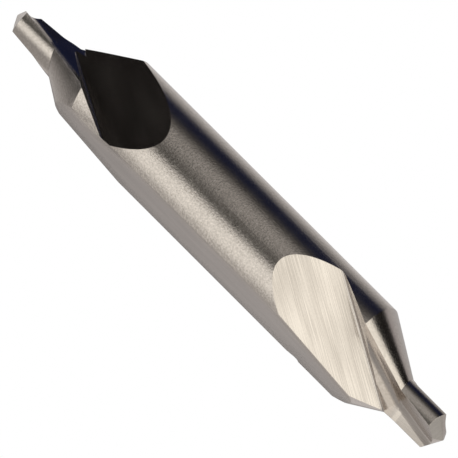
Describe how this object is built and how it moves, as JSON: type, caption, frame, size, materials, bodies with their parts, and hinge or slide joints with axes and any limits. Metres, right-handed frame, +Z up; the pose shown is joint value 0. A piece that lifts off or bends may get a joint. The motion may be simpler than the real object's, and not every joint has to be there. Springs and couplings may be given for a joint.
{
  "type": "centre drill",
  "caption": "Double-ended centre drill: a round shank with a clamping flat, and at each end a short pilot drill that runs into a 60 degree countersink",
  "frame": {"origin": "on the clamping flat, midway along the drill's whole length and under its axis", "axes": "+X along the drill towards the end that is nearer in the picture, +Z up, away from the clamping flat that it lies on, +Y across"},
  "size_m": [0.0546, 0.01, 0.0082],
  "materials": {
    "steel": "ground high-speed steel, slightly warm grey, fine grinding marks"
  },
  "bodies": {
    "root": {"centre_drill": "steel"}
  },
  "joints": []
}
